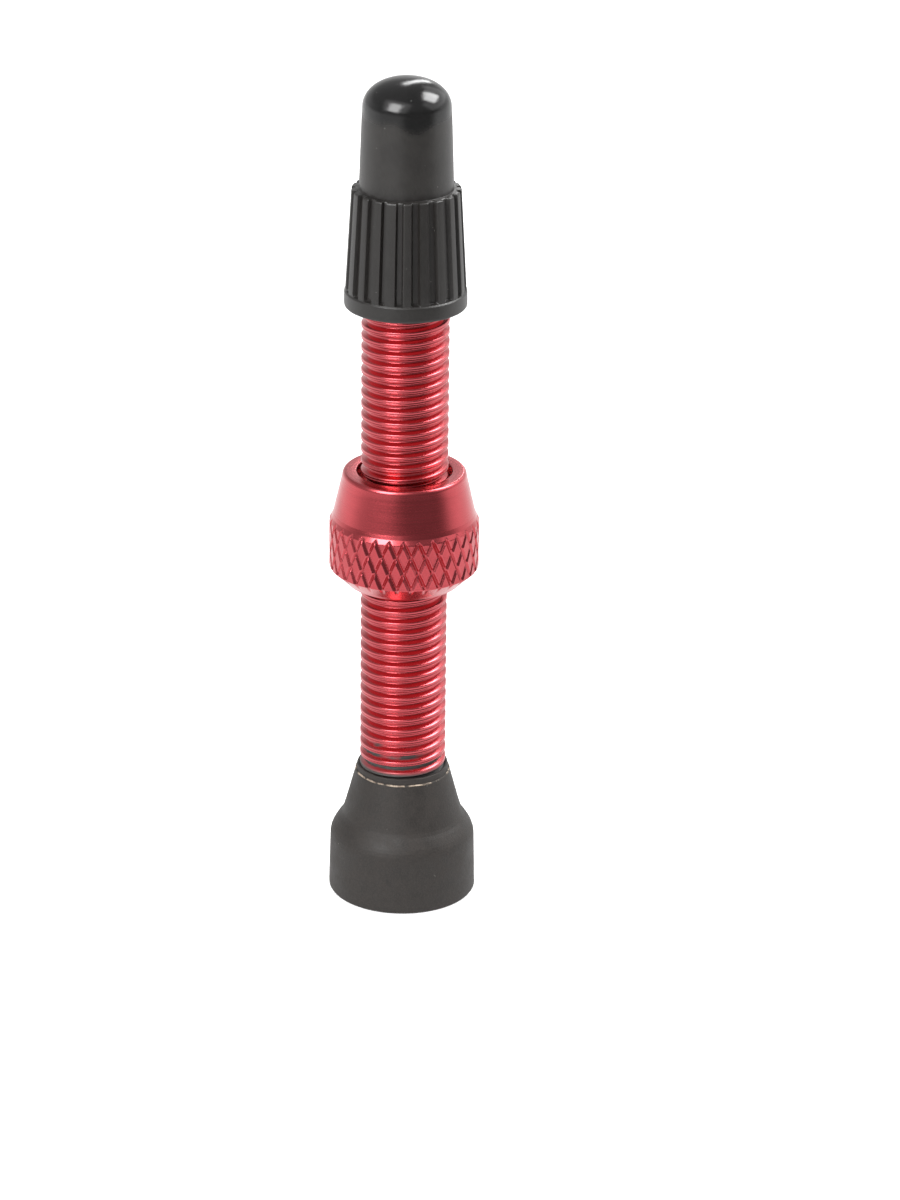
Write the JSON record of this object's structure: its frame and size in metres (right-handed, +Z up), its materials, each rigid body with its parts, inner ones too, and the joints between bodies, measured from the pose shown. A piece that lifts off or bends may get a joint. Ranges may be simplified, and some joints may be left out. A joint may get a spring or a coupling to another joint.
{
  "type": "tubeless tyre valve",
  "caption": "Threaded bicycle tyre valve with a round tapered rubber base, a knurled cone-topped lock ring and a ribbed dust cap over a removable core.",
  "frame": {"origin": "centre of the rubber base's lower face, on the stem's axis", "axes": "+Z up the stem from the rubber base to the dust cap; X and Y are square to it, and the valve is round about Z"},
  "size_m": [0.0102, 0.0102, 0.0583],
  "materials": {
    "red_anodised": "satin red anodised, turned",
    "base_rubber": "matte moulded",
    "seal_rubber": "smooth",
    "cap_plastic": "moulded, polished dome",
    "nickel_plated": "nickel plated, turned",
    "pin_brass": "turned",
    "gasket_plastic": "smooth white"
  },
  "bodies": {
    "stem": {"valve_stem": "red_anodised", "rubber_base": "base_rubber"},
    "o_ring": {"rim_o_ring": "seal_rubber"},
    "ring": {"lock_ring": "red_anodised"},
    "gasket": {"core_gasket": "gasket_plastic"},
    "core": {"core_body": "nickel_plated"},
    "nut": {"thumb_nut": "nickel_plated"},
    "pin": {"core_pin": "pin_brass", "pin_seal": "seal_rubber"},
    "cap": {"dust_cap": "cap_plastic"}
  },
  "joints": [
    {"name": "rim_o_ring_travel", "type": "slide", "parent": "stem", "child": "o_ring", "axis": [0, 0, 1], "range_m": [-0.0136, 0.0117]},
    {"name": "lock_ring_turn", "type": "hinge", "parent": "o_ring", "child": "ring", "pos_m": [0, 0, 0.027], "axis": [0, 0, 1], "range_deg": [-6121, 5266]},
    {"name": "core_gasket_travel", "type": "slide", "parent": "stem", "child": "gasket", "axis": [0, 0, 1], "range_m": [0, 0.004]},
    {"name": "core_turn", "type": "hinge", "parent": "gasket", "child": "core", "pos_m": [0, 0, 0.0465], "axis": [0, 0, 1], "range_deg": [0, 2881]},
    {"name": "thumb_nut_turn", "type": "hinge", "parent": "core", "child": "nut", "pos_m": [0, 0, 0.052], "axis": [0, 0, 1], "range_deg": [0, 1441]},
    {"name": "core_pin_press", "type": "slide", "parent": "core", "child": "pin", "axis": [0, 0, 1], "range_m": [-0.0016, 0]},
    {"name": "dust_cap_lift", "type": "slide", "parent": "core", "child": "cap", "axis": [0, 0, 1], "range_m": [0, 0.02]}
  ],
  "couplings": [
    {"joint": "lock_ring_turn", "follows": "rim_o_ring_travel", "rad_per_m": 7854},
    {"joint": "core_turn", "follows": "core_gasket_travel", "rad_per_m": 12566},
    {"joint": "thumb_nut_turn", "follows": "core_pin_press", "rad_per_m": -15708}
  ]
}
